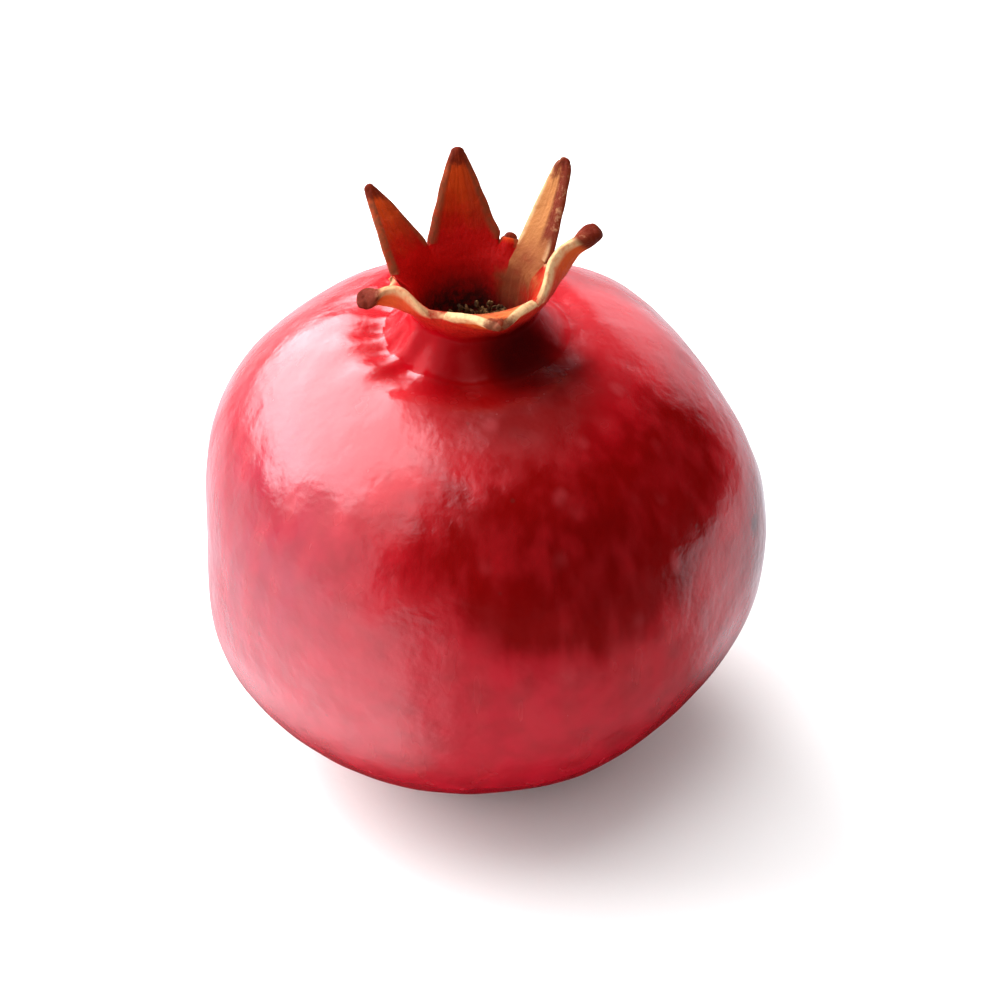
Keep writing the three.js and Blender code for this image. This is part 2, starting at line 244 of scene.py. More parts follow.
def evenly(points, rows):
    """As many points as rows, evenly along a line through points, without its first one."""
    lengths = np.r_[0, np.cumsum(np.linalg.norm(np.diff(points, axis=0), axis=1))]
    at = np.linspace(0, lengths[-1], rows + 1)[1:]
    return np.stack([np.interp(at, lengths, column) for column in points.T], 1)


def softened(points, steps):
    """A Catmull-Rom line through points, with some steps between each two of them."""
    points = np.asarray(points, float)
    padded = np.vstack([2 * points[0] - points[1], points, 2 * points[-1] - points[-2]])
    t = (np.arange(steps) / steps)[:, None]
    line = []
    for a, b, c, d in zip(padded, padded[1:], padded[2:], padded[3:]):
        curve = (c - a) * t + (2 * a - 5 * b + 4 * c - d) * t**2 + (3 * b - a - 3 * c + d) * t**3
        line.append(b + curve / 2)
    return np.vstack([*line, points[-1:]])


def ring(radius, azimuth, height):
    """Points round the fruit's axis."""
    azimuth = np.asarray(azimuth, float)
    return np.stack([radius * np.cos(azimuth), radius * np.sin(azimuth), height + 0 * azimuth], -1)


def direction(azimuth, elevation):
    """A unit vector from its azimuth and elevation in degrees."""
    elevation = math.radians(elevation)
    return ring(math.cos(elevation), math.radians(azimuth), math.sin(elevation))


def rough(points, size, seed=0):
    """Smooth noise from -1 to 1 at each point, in lumps of about that size."""
    flat = np.reshape(points, (-1, 3)) / size + 17.3 * seed
    return np.reshape([noise.noise(Vector(p)) for p in flat], np.shape(points)[:-1])


# ---------------------------------------------------------------- the shape of the skin

FOOT_SHARE = (1 - (FOOT_RADIUS / BODY_RADIUS) ** SQUARENESS) ** (1 / SQUARENESS)
HALF_HEIGHT = BODY_HEIGHT / (1 + FOOT_SHARE)
MIDDLE = np.array([0, 0, HALF_HEIGHT * FOOT_SHARE])


def squared(share):
    return np.sign(share) * np.abs(share) ** (2 / SQUARENESS)


def rind_outline():
    """The rind's outline from the foot to the shoulder, as radius and height."""
    start = -math.acos((FOOT_RADIUS / BODY_RADIUS) ** (SQUARENESS / 2))
    end = math.acos((SHOULDER_RADIUS / BODY_RADIUS) ** (SQUARENESS / 2))
    angle = np.linspace(start, end, 400)
    return np.stack(
        [BODY_RADIUS * squared(np.cos(angle)), MIDDLE[2] + HALF_HEIGHT * squared(np.sin(angle))], 1
    )


def outside_profile():
    """The outside, as radius and height, from the middle of the stem scar to the crown's rim."""
    rind = rind_outline()
    shoulder = rind[-1]
    neck = np.array([NECK_RADIUS, NECK_HEIGHT])
    reach = np.linalg.norm(neck - shoulder)
    along = unit(rind[-1] - rind[-2])
    fine = np.linspace(0, 1, 100)
    below_neck = neck + reach * np.array([0.1, -0.3])
    fillet = bezier([shoulder, shoulder + 0.4 * reach * along, below_neck, neck], fine)
    waist = (NECK_RADIUS, lerp(NECK_HEIGHT, RIM_HEIGHT, 0.45))
    flare = bezier([neck, waist, (RIM_RADIUS, RIM_HEIGHT)], fine)
    lines = [softened(STEM_SCAR, SCAR_STEPS)]
    lines += [evenly(rind, RIND_ROWS), evenly(fillet, NECK_ROWS), evenly(flare, TUBE_ROWS)]
    return np.vstack(lines)


def inside_profile():
    """The inside of the crown, from below its rim to the middle of its floor."""
    wall = bezier(
        [
            (RIM_RADIUS - WALL, RIM_HEIGHT),
            (NECK_RADIUS - WALL, lerp(CUP_FLOOR, RIM_HEIGHT, 0.75)),
            (NECK_RADIUS - WALL, lerp(CUP_FLOOR, RIM_HEIGHT, 0.1)),
            (CUP_RADIUS, CUP_FLOOR),
        ],
        np.linspace(0, 1, 100),
    )
    floor = [(CUP_RADIUS * share, CUP_FLOOR) for share in (0.85, 0.7, 0.5, 0.25, 0)]
    return np.vstack([evenly(wall, CUP_ROWS), floor])


def relief(points):
    """How far the rind stands out of its plain outline: the CAD model's forms, and finer ones."""
    towards = unit(points - MIDDLE)
    azimuth = np.arctan2(points[..., 1], points[..., 0])
    height = RIDGE_HEIGHT * np.cos(RIDGES * azimuth) * (1 - towards[..., 2] ** 2)
    for about, latitude, swelling, spread in SWELLINGS:
        away = np.degrees(np.arccos(np.clip(towards @ direction(about, latitude), -1, 1))) / spread
        height = height + swelling * np.exp(-(away**2))
    radius = np.hypot(points[..., 0], points[..., 1])
    near_neck = 1 - smoothstep(radius, NECK_RADIUS, FOLD_END)
    on_top = smoothstep(points[..., 2], MIDDLE[2], BODY_HEIGHT)
    puckered = lerp(0.1, 1, (0.5 + 0.5 * np.cos(azimuth - math.radians(FOLD_AZIMUTH))) ** 2)
    folds = FOLD_HEIGHT * np.cos(FOLDS * azimuth + 2 * np.sin(2 * azimuth))
    creases = CREASE_HEIGHT * rough(ring(9, azimuth, 0.12 * points[..., 2]), 1.3, seed=3)
    hollow = smoothstep(radius, NECK_RADIUS, HOLLOW_RADIUS)
    hollow = hollow * (1 - smoothstep(radius, HOLLOW_RADIUS, HOLLOW_END))
    height = height + ((folds + creases) * puckered * near_neck - HOLLOW_DEPTH * hollow) * on_top
    for swell, size, seed in UNDULATIONS:
        height = height + swell * rough(points, size, seed)
    off_foot = smoothstep(points[..., 2], 0, 6)
    off_crown = 1 - smoothstep(points[..., 2], BODY_HEIGHT - 2, RIM_HEIGHT - 1)
    return height * off_foot * off_crown


def raised(points):
    return points + unit(points - MIDDLE) * relief(points)[..., None]


def leaning(points):
    """The crown leans: what lies above the rind's middle is drawn aside, most at the rim."""
    share = np.maximum(0, (points[..., 2] - MIDDLE[2]) / (RIM_HEIGHT - MIDDLE[2])) ** 2
    return points + share[..., None] * np.array([*CROWN_LEAN, 0])


def turned(vectors, axes, angle):
    """Vectors turned about unit axes by an angle each."""
    angle = angle[..., None]
    along = axes * np.sum(vectors * axes, -1, keepdims=True)
    return along + (vectors - along) * np.cos(angle) + np.cross(axes, vectors) * np.sin(angle)


def lobe_frame(lobe, v):
    """A lobe's line at v, from 0 at the rim to 1 at its tip, with its tangent, side and outside."""
    middle = math.radians((lobe["start"] + lobe["end"]) / 2)
    tip = math.radians(lobe["azimuth"])

    def heading(azimuth, rise):
        return ring(math.cos(math.radians(rise)), azimuth, math.sin(math.radians(rise)))

    base = ring(RIM_RADIUS, middle, RIM_HEIGHT)
    end = ring(lobe["reach"], tip, RIM_HEIGHT + lobe["rise"])
    third = np.linalg.norm(end - base) / 3
    leaving = base + third * heading(middle, lobe["flare"])
    arriving = end - third * heading(tip, lobe["slope"])
    controls = [base, leaving, arriving, end]
    line = bezier(controls, v)
    tangent = unit(bezier(np.diff(controls, axis=0), v))
    azimuth = lerp(middle, tip, v)
    side = np.stack([-np.sin(azimuth), np.cos(azimuth), 0 * azimuth], -1)
    side = turned(side, tangent, math.radians(lobe["twist"]) * smoothstep(v, 0, 0.6))
    side = unit(side - tangent * np.sum(side * tangent, -1, keepdims=True))
    return line, tangent, side, np.cross(side, tangent)


def lobe_surface(lobe, u, v, inside):
    """Points of a lobe's outer or inner face at u, from -1 to 1 across it, and v, along it."""
    half = math.radians(lobe["end"] - lobe["start"]) / 2
    line, _, side, outwards = lobe_frame(lobe, v)
    narrowing = (1 - v) ** lobe["taper"]
    knob = lobe["knob"] * smoothstep(v, 0.6, 0.9) * (1 - smoothstep(v, 0.92, 1.15))
    own = 0 * v + lobe["azimuth"]
    ragged = 1 + 0.07 * rough(np.stack([6 * v, np.sign(u), own], -1), 1, seed=5) * (v > 0)
    half_width = lerp(TIP_HALF_WIDTH, RIM_RADIUS * math.sin(half), narrowing) * ragged + 0.4 * knob
    rolled = lobe["channel"] * 4 * v * (1 - v)
    sag = (RIM_RADIUS * (1 - math.cos(half)) + rolled) * narrowing
    wall = lerp(lerp(WALL, TIP_WALL, v), MARGIN, u * u) + knob * (1 - 0.6 * u * u)
    shrink = (RIM_RADIUS - MARGIN) / RIM_RADIUS if inside else 1
    depth = knob / 2 - (wall if inside else 0) - sag * shrink * u * u
    fade = smoothstep(v, 0, 0.15)
    ribs = 0.1 * rough(np.stack([7 * u, 0.8 * v, own], -1), 1, seed=6 + inside)
    depth = depth + (ribs + 0.12 * rough(line + 3 * u[..., None] * side, 2.2, seed=8)) * fade
    return line + side * (half_width * shrink * u)[..., None] + outwards * depth[..., None]


# ---------------------------------------------------------------- meshes


class Skin:
    """Collects rows of points, and the faces between them, for one mesh. Each point may carry
    values for the material: numbers by name, 0 where a row doesn't give them."""

    def __init__(self):
        self.points = []
        self.values = []
        self.faces = []
        self.count = 0

    def add(self, points, **values):
        points = np.reshape(points, (-1, 3))
        self.points.append(points)
        spread = {name: np.broadcast_to(value, len(points)) for name, value in values.items()}
        self.values.append(spread)
        ids = np.arange(self.count, self.count + len(points))
        self.count += len(points)
        return ids

    def join(self, a, b):
        """Joins two rows of as many points, each anticlockwise seen from the side that b is on."""
        self.faces.extend(np.stack([a[:-1], a[1:], b[1:], b[:-1]], 1).tolist())

    def fan(self, row, middle):
        """Closes a row of points with triangles round its middle."""
        row = row.tolist()
        self.faces.extend([[a, b, int(middle)] for a, b in zip(row, row[1:])])

    def piece(self, name, offset=(0, 0, 0)):
        """A new object of the mesh, moved by offset and in metres."""
        points = (np.vstack(self.points) + np.asarray(offset)) * MM
        mesh = bpy.data.meshes.new(name)
        mesh.from_pydata(points.tolist(), [], self.faces)
        for key in sorted({key for row in self.values for key in row}):
            rows = zip(self.values, self.points)
            numbers = np.concatenate([row.get(key, np.zeros(len(points))) for row, points in rows])
            attribute = mesh.attributes.new(key, "FLOAT", "POINT")
            attribute.data.foreach_set("value", numbers.astype(np.float32))
        mesh.shade_smooth()
        mesh.validate()
        made = bpy.data.objects.new(name, mesh)
        bpy.context.collection.objects.link(made)
        return made


def closed(row):
    return np.append(row, row[0])


def fruit_skin():
    """The rind, neck and crown. calyx is 0 on the rind, 1 at the crown's rim and 2 at a lobe's tip,
    edge is 1 at a lobe's margins, inner is 1 inside the crown, depth is 1 at its floor, dry is how
    pale a lobe has dried, burnt is how brown it is, and scar is 1 in the middle of the scar."""
    skin = Skin()
    shares = np.arange(LOBE_COLUMNS) / LOBE_COLUMNS
    azimuths = [lerp(lobe["start"], lobe["end"], shares) for lobe in LOBES]
    azimuths = np.radians(np.concatenate(azimuths))
    lobe_dryness = [lobe["dry"] for lobe in LOBES]
    dryness = np.repeat(lobe_dryness, LOBE_COLUMNS)
    middles = np.radians([(lobe["start"] + lobe["end"]) / 2 for lobe in LOBES])
    even_dryness = np.interp(azimuths - DRY_TURN, middles, lobe_dryness, period=2 * math.pi)

    rings = []
    for radius, height in outside_profile()[1:]:
        points = leaning(raised(ring(radius, azimuths, height)))
        low = height < MIDDLE[2]
        if low:
            by_stem = (1 - smoothstep(radius, 3, 8)) * (radius < 8)
            points[:, 2] += CORK_ROUGHNESS * rough(points, 0.9, seed=9) * by_stem
        values = dict(
            calyx=0 if low else float(smoothstep(height, NECK_HEIGHT - 3, RIM_HEIGHT)),
            scar=float(1 - smoothstep(radius, 0, 9)) if low else 0,
            dry=0 if low else dryness,
        )
        rings.append(closed(skin.add(points, **values)))
    skin.fan(rings[0][::-1], skin.add(ring(0, 0, STEM_SCAR[0][1]), scar=1)[0])
    for lower, upper in zip(rings, rings[1:]):
        skin.join(lower, upper)

    across = np.linspace(-1, 1, LOBE_COLUMNS + 1)
    base = np.zeros(LOBE_COLUMNS + 1)
    rim = rings[-1]
    inside_points = [leaning(lobe_surface(lobe, across, base, True)) for lobe in LOBES]
    inside_rim = np.vstack([points[:-1] for points in inside_points])
    inside_rim = closed(skin.add(inside_rim, calyx=1, inner=1, dry=dryness))
    outside_points = [leaning(lobe_surface(lobe, across, base, False)) for lobe in LOBES]

    # The short line across the wall at each notch, which the lobes on both sides share.
    between = np.arange(1, MARGIN_COLUMNS + 1)[:, None] / (MARGIN_COLUMNS + 1)
    notches = []
    for outer, inner, dry in zip(outside_points, inside_points, lobe_dryness):
        points = lerp(outer[0], inner[0], between)
        notches.append(skin.add(points, calyx=1, edge=1, inner=between[:, 0], dry=dry))
    for n, lobe in enumerate(LOBES):
        part = slice(n * LOBE_COLUMNS, (n + 1) * LOBE_COLUMNS + 1)
        following = notches[(n + 1) % len(LOBES)]
        loop = np.concatenate([rim[part], following, inside_rim[part][::-1], notches[n][::-1]])
        add_lobe(skin, lobe, closed(loop), across, between)

    rows = [inside_rim]
    profile = inside_profile()
    for radius, height in profile[:-1]:
        deep = (RIM_HEIGHT - height) / (RIM_HEIGHT - CUP_FLOOR)
        ribs = CUP_RIB_HEIGHT * rough(ring(12, azimuths, 0.1 * height), 1.5, seed=12)
        ribs = ribs * math.sin(math.pi * min(1, 1.2 * deep)) * (radius > 0.9 * CUP_RADIUS)
        points = leaning(ring(radius + ribs, azimuths, height))
        dry = lerp(dryness, even_dryness, min(1, 4 * deep))
        rows.append(closed(skin.add(points, calyx=1 - deep, inner=1, depth=deep, dry=dry)))
    for high, low in zip(rows, rows[1:]):
        skin.join(high, low)
    centre = skin.add(leaning(ring(0, 0, CUP_FLOOR)), inner=1, depth=1)
    skin.fan(rows[-1], centre[0])
    return skin


def add_lobe(skin, lobe, loop, across, between):
    """Grows one lobe from a closed loop round its foot: its outer face, the margin at its end, its
    inner face and the margin at its start."""
    outward_bulge = 0.5 * MARGIN * np.sin(math.pi * between)
    for row in range(1, LOBE_ROWS + 1):
        v = 1 - (1 - row / LOBE_ROWS) ** 1.3
        at = np.full(len(across), v)
        outer = lobe_surface(lobe, across, at, False)
        inner = lobe_surface(lobe, across, at, True)
        _, tangent, side, _ = lobe_frame(lobe, np.array([v]))
        bulge = outward_bulge * smoothstep(v, 0, 0.12)
        last = lerp(outer[-1], inner[-1], between) + bulge * side
        first = lerp(inner[0], outer[0], between) - bulge * side
        points = np.vstack([outer, last, inner[::-1], first])
        plain = np.ones(len(between))
        edge = np.concatenate([np.abs(across), plain, np.abs(across), plain])
        inwards = np.concatenate([0 * across, between[:, 0], 1 + 0 * across, between[::-1, 0]])
        browned = lobe["burnt"] * smoothstep(v, 0.05, 0.3) * smoothstep(-across, 0.1, 0.5)
        browned = np.concatenate([browned, 0 * plain, browned[::-1], lobe["burnt"] * plain])
        browned = np.maximum(browned, (lobe["knob"] > 1) * smoothstep(v, 0.68, 0.8))
        values = dict(calyx=1 + v, edge=edge, inner=inwards, dry=lobe["dry"], burnt=browned)
        following = closed(skin.add(leaning(points), **values))
        skin.join(loop, following)
        loop = following
    centre = points.mean(0)
    point = 0.6 * TIP_WALL * tangent[0]
    for row in range(1, TIP_ROWS + 1):
        angle = math.pi / 2 * row / (TIP_ROWS + 0.5)
        cap = centre + (points - centre) * math.cos(angle) + point * math.sin(angle)
        following = closed(skin.add(leaning(cap), **values))
        skin.join(loop, following)
        loop = following
    end = skin.add(leaning(centre + point), calyx=2, edge=1, inner=0.5, dry=lobe["dry"])
    skin.fan(loop, end[0])


# ---------------------------------------------------------------- stamens


def seeded_draws(seed):
    """Repeatable draws between 0 and 1, the same as the CAD model's."""
    state = seed

    def draw():
        nonlocal state
        state = state * 48271 % 2147483647
        return state / 2147483647

    return draw


def add_rod(skin, line, radii, sides):
    """A closed rod along a line of points, with a radius at each."""
    tangents = unit(np.gradient(line, axis=0))
    across = unit(np.cross([1.0, 0, 0], tangents))
    over = np.cross(tangents, across)
    around = 2 * math.pi * np.arange(sides) / sides
    rows = []
    for n, radius in enumerate(radii):
        spokes = np.outer(np.cos(around), across[n]) + np.outer(np.sin(around), over[n])
        rows.append(closed(skin.add(leaning(line[n] + radius * spokes))))
    for low, high in zip(rows, rows[1:]):
        skin.join(low, high)
    skin.fan(rows[0][::-1], skin.add(leaning(line[0]))[0])
    skin.fan(rows[-1], skin.add(leaning(line[-1]))[0])


def add_anther(skin, centre, along, length):
    """A withered anther: a small kidney of two pollen sacs, pinched between them."""
    steps = np.linspace(0, 1, 9)
    side = unit(np.cross(along, [0.3, 0.2, 1.0]))
    for sign in (-1, 1):
        line = centre + np.outer((steps - 0.5) * length, along)
        line += side * sign * 0.2 * length * (0.7 + 0.6 * np.abs(steps - 0.5))[:, None]
        radii = 0.24 * length * np.sqrt(np.clip(1 - (2 * steps - 1) ** 2, 0.03, 1))
        add_rod(skin, line, radii, 8)


def stamen_line(index, count, draw, reach=1.0):
    """The line of one stamen, placed as in the CAD model: out towards the wall and back."""
    azimuth = math.radians(index * GOLDEN_ANGLE + 20 * draw())
    foot = (MAT_RADIUS - 1) * math.sqrt((index + 0.5) / count)
    by_side = (1 + math.cos(azimuth)) / 2
    length = (STAMEN_LENGTH + STAMEN_EXTRA * by_side) * lerp(0.75, 1, draw())
    length = length * lerp(0.7, 1, foot / MAT_RADIUS) * reach
    turn = math.radians(50) * (draw() - 0.5)
    bow = foot + lerp(0.3, 1.1, draw())
    mat_top = CUP_FLOOR + MAT_THICKNESS
    controls = [
        ring(foot, azimuth, CUP_FLOOR + CLEARANCE + MAT_THICKNESS / 2),
        ring(bow, azimuth, mat_top + 0.6 * length),
        ring(lerp(foot, bow, draw()), azimuth + turn, mat_top + length),
    ]
    return bezier(controls, np.linspace(0, 1, 14))


def stamen_skins():
    """The filaments, and the anthers on them."""
    filaments, anthers = Skin(), Skin()
    draw = seeded_draws(STAMEN_SEED)
    thin = seeded_draws(THIN_SEED)
    lines = [(stamen_line(n, STAMENS, draw), FILAMENT_RADIUS) for n in range(STAMENS)]
    thin_radius = 0.6 * FILAMENT_RADIUS
    for n in range(THIN_STAMENS):
        lines.append((stamen_line(n + 0.37, THIN_STAMENS, thin, 0.9), thin_radius))
    for n, (line, radius) in enumerate(lines):
        kinks = [rough(line, 1.6, seed=20 + n), rough(line, 1.6, seed=90 + n), np.zeros(len(line))]
        along = np.linspace(0, 1, len(line))
        line = line + 0.12 * np.stack(kinks, 1) * along[:, None]
        radii = radius * np.interp(along, [0, 0.2, 0.8, 1], [1.3, 0.85, 0.6, 0.5])
        add_rod(filaments, line, radii, 7)
        droop = unit(line[-1] - line[-4] + np.array([0.4 * math.cos(n), 0.4 * math.sin(n), -0.1]))
        anther = (0.8 if radius == thin_radius else 1.1) * (0.85 + 0.3 * (n * GOLDEN_SHARE % 1))
        add_anther(anthers, line[-1], droop, anther)
    return filaments, anthers


def style_skin():
    """The style, a bent stub with a flared stigma at its end."""
    skin = Skin()
    foot = CUP_FLOOR + CLEARANCE + MAT_THICKNESS / 2
    end = ring(1.4, math.radians(60), foot + STYLE_LENGTH)
    controls = [ring(0, 0, foot), ring(0, 0, foot + 0.6 * STYLE_LENGTH), end]
    shares = np.linspace(0, 1, 18)
    radii = STYLE_RADIUS * np.interp(shares, [0, 0.3, 0.8, 0.92, 1], [1.4, 0.85, 0.7, 1.1, 0.8])
    add_rod(skin, bezier(controls, shares), radii, 14)
    return skin


def disc_skin():
    """The withered disc at the bottom of the crown, with a rough top."""
    skin = Skin()
    bottom = CUP_FLOOR + CLEARANCE
    profile = [(0.3, 0), (0.97, 0), (1, 0.3), (1, 0.6), (0.95, 0.85), (0.85, 0.98)]
    profile += [(radius, 1) for radius in (0.7, 0.5, 0.3, 0.12)]
    around = np.linspace(0, 2 * math.pi, 60, endpoint=False)
    rows = []
    for radius, height in profile:
        points = ring(MAT_RADIUS * radius, around, bottom + MAT_THICKNESS * height)
        points[:, 2] += 0.15 * rough(points, 0.8, seed=30) * (height > 0.5)
        rows.append(closed(skin.add(leaning(points))))
    for low, high in zip(rows, rows[1:]):
        skin.join(low, high)
    skin.fan(rows[0][::-1], skin.add(leaning(ring(0, 0, bottom)))[0])
    skin.fan(rows[-1], skin.add(leaning(ring(0, 0, bottom + MAT_THICKNESS)))[0])
    return skin


# ---------------------------------------------------------------- materials


class Shader:
    """A material's nodes, with short calls for the few kinds that it uses. An input takes a plain
    value or another node's output."""

    def __init__(self, name):
        self.material = bpy.data.materials.new(name)
        self.material.use_nodes = True
        self.tree = self.material.node_tree
        self.principled = self.tree.nodes["Principled BSDF"]

    def put(self, socket, value):
        if isinstance(value, bpy.types.NodeSocket):
            self.tree.links.new(value, socket)
        else:
            socket.default_value = value

    def node(self, kind, inputs, **settings):
        made = self.tree.nodes.new("ShaderNode" + kind)
        for key, value in settings.items():
            setattr(made, key, value)
        for key, value in inputs.items():
            self.put(made.inputs[key], value)
        return made

    def finish(self, **inputs):
        for name, value in inputs.items():
            socket = name.replace("_", " ").title().replace("Ior", "IOR")
            self.put(self.principled.inputs[socket], value)
        return self.material

    def millimetres(self, stretch=(1, 1, 1)):
        """The point's own coordinates in millimetres, each stretched by a factor."""
        own = self.node("TexCoord", {}).outputs["Object"]
        scale = [factor / MM for factor in stretch]
        return self.vector("MULTIPLY", own, scale)

    def value(self, name):
        """A number that the mesh carries."""
        return self.node("Attribute", {}, attribute_name=name).outputs["Fac"]

    def math(self, operation, a, b=0.0):
        return self.node("Math", {0: a, 1: b}, operation=operation).outputs["Value"]

    def plus(self, a, b):
        return self.math("ADD", a, b)

    def times(self, a, b):
        return self.math("MULTIPLY", a, b)

    def vector(self, operation, a, b=(0, 0, 0), output="Vector"):
        return self.node("VectorMath", {0: a, 1: b}, operation=operation).outputs[output]

    def spoke(self, where):
        """A point's direction from the fruit's middle."""
        return self.vector("NORMALIZE", self.vector("SUBTRACT", where, MIDDLE))

    def towards(self, where, side):
        """How far a point looks towards a side of the fruit: 1 towards it, -1 away."""
        return self.vector("DOT_PRODUCT", self.spoke(where), direction(*side), "Value")

    def apart(self, where, side, stretch):
        """How far a point is from a side of the fruit, counting rise more by stretch."""
        aim = direction(*side) * (1, 1, stretch)
        spoke = self.vector("MULTIPLY", self.spoke(where), (1, 1, stretch))
        return self.vector("DISTANCE", spoke, aim, "Value")

    def rise(self, value, low, high, to_low=0.0, to_high=1.0):
        """A smooth step of value from low to high."""
        inputs = {"Value": value, "From Min": low, "From Max": high}
        inputs.update({"To Min": to_low, "To Max": to_high})
        return self.node("MapRange", inputs, interpolation_type="SMOOTHSTEP").outputs["Result"]

    def mix(self, share, a, b):
        """A colour or number between a and b."""
        a, b = ((*c, 1) if isinstance(c, tuple) else c for c in (a, b))
        made = self.node("Mix", {}, data_type="RGBA")
        for socket, value in ((made.inputs[0], share), (made.inputs[6], a), (made.inputs[7], b)):
            self.put(socket, value)
        return made.outputs[2]

    def noise(self, where, size, detail=2.0, roughness=0.5):
        inputs = {"Vector": where, "Scale": 1 / size, "Detail": detail, "Roughness": roughness}
        return self.node("TexNoise", inputs).outputs["Fac"]

    def cells(self, where, size):
        """How far a point is from the nearest of scattered ones, as a share of size."""
        return self.node("TexVoronoi", {"Vector": where, "Scale": 1 / size}).outputs["Distance"]

    def bump(self, height, depth, below=None):
        """A normal from a height between 0 and 1 and its depth in millimetres."""
        inputs = {"Height": height, "Distance": depth * MM}
        if below is not None:
            inputs["Normal"] = below
        return self.node("Bump", inputs).outputs["Normal"]


def rind_colour(shader, where, clouds, streaks, deep, paleness):
    """The waxy red in clouds and streaks: its own deep crimson darkened by painted shade on the
    front-right, painted shade on the lit left, and a paler flush below, partly its own and
    partly painted bounce light from the floor.
    """
    mottle = shader.noise(where, 5, detail=2)
    on_painted_dim_side = shader.rise(shader.towards(where, PAINTED_DIM_SIDE), 0.68, 1)
    red = shader.mix(on_painted_dim_side, RIND_BRIGHT, RIND_PAINTED_DIM)
    flush_and_bounce = shader.plus(shader.towards(where, FLUSH_AND_BOUNCE_SIDE), shader.times(clouds, 0.6))
    red = shader.mix(shader.rise(flush_and_bounce, 0.7, 1.3, 0, 0.8), red, RIND_FLUSH_AND_BOUNCE)
    red = shader.mix(deep, red, RIND_DEEP_AND_SHADE)
    red = shader.mix(shader.rise(paleness, 0.7, 0.4), red, RIND_DEEPEST_AND_SHADE)
    red = shader.mix(shader.rise(streaks, 0.35, 0.85, 0, 0.4), red, RIND_BRIGHT)
    red = shader.mix(shader.rise(mottle, 0.3, 0.8, 0, 0.4), red, RIND_DEEP_AND_SHADE)

    # A rosy painted light on the shoulder beside the neck, the crown's painted shadow in maroon at
    # the neck's foot inside a wider painted shade of deep red, and a real blemish.
    for middle, full, clear, shade in PATCHES:
        off_patch = shader.vector("DISTANCE", where, middle, "Value")
        off_patch = shader.plus(off_patch, shader.times(mottle, 4))
        at_patch = shader.rise(off_patch, clear, full)
        red = shader.mix(at_patch, red, shade)
        # The lenticels are left off the painted shadow at the neck's foot.
        if middle == NECK_SHADOW_PATCH:
            clear_of_neck_shadow = shader.rise(at_patch, 0.3, 0)

    # Lenticels: soft pale ovals along the meridians, most on one shoulder, and rusty specks.
    swayed = shader.millimetres(stretch=(1, 1, 0.5))
    flecks = shader.rise(shader.cells(swayed, 6.5), 0.3, 0.08)
    flecks = shader.times(flecks, shader.rise(clouds, 0.42, 0.6))
    by_side = shader.rise(shader.towards(where, LENTICEL_SIDE), 0.55, 0.95, 0, 0.45)
    flecks = shader.times(flecks, by_side)
    red = shader.mix(shader.times(flecks, clear_of_neck_shadow), red, LENTICEL)
    specks = shader.times(shader.rise(shader.cells(where, 7.3), 0.03, 0.07, 1, 0), 0.4)
    return shader.mix(specks, red, RUSSET)


def leather(shader, grain, blotches):
    """The crown: red leather outside, deep red to rust inside, tan where it has dried, dark at the
    tips, with painted shade deep in the cup. Gives its colour, and how far it covers the rind's."""
    calyx, inner, depth, dry = (shader.value(name) for name in ("calyx", "inner", "depth", "dry"))
    waver = shader.times(shader.math("SUBTRACT", blotches, 0.5), 0.5)
    wavering = shader.plus(calyx, waver)
    outside = shader.mix(shader.rise(wavering, 0.9, 1.7), CALYX_RED, CALYX_ORANGE)
    inside = shader.mix(shader.rise(wavering, 1.1, 1.9), CALYX_DEEP, CALYX_RUST)
    pale = shader.rise(shader.plus(dry, shader.times(blotches, 0.6)), 0.75, 1.25)
    pale = shader.times(pale, shader.rise(depth, 1, 0.4))
    dried = shader.mix(shader.rise(wavering, 0.7, 1.4), CALYX_BROWN, CALYX_PALE)
    inside = shader.mix(pale, inside, dried)
    colour = shader.mix(inner, outside, inside)
    margin = shader.mix(shader.rise(dry, 0.2, 0.7), CALYX_BROWN, CALYX_TAN)
    at_edge = shader.rise(shader.value("edge"), 0.75, 1)
    worn = shader.times(at_edge, shader.rise(wavering, 0.9, 1.1))
    worn = shader.times(worn, shader.rise(grain, 0.3, 0.6, 0.5, 1))
    colour = shader.mix(worn, colour, margin)
    burnt = shader.times(shader.value("burnt"), shader.rise(grain, 0.3, 0.5, 0.6, 1))
    colour = shader.mix(burnt, colour, CALYX_BURNT)
    tips = shader.times(shader.rise(wavering, 1.8, 1.97), 0.9)
    colour = shader.mix(tips, colour, CALYX_DARK)
    # Painted shade: darker towards the floor of the cup, less where the cup has dried.
    cup = shader.mix(shader.rise(grain, 0.4, 0.7, 0, 0.5), CUP_PAINTED_SHADE, CALYX_DEEP)
    shaded = shader.math("SUBTRACT", depth, shader.times(dry, 0.35))
    colour = shader.mix(shader.rise(shaded, 0.05, 0.6), colour, cup)
    return colour, shader.math("MAXIMUM", shader.rise(wavering, 0.55, 1.0), inner)


def cork(shader, grain, blotches):
    """The stem scar: grey-brown cork, with how far it covers the rind's colour."""
    on_scar = shader.plus(shader.value("scar"), shader.times(blotches, 0.3))
    return shader.mix(grain, BARK_DARK, BARK), shader.rise(on_scar, 0.35, 0.6)


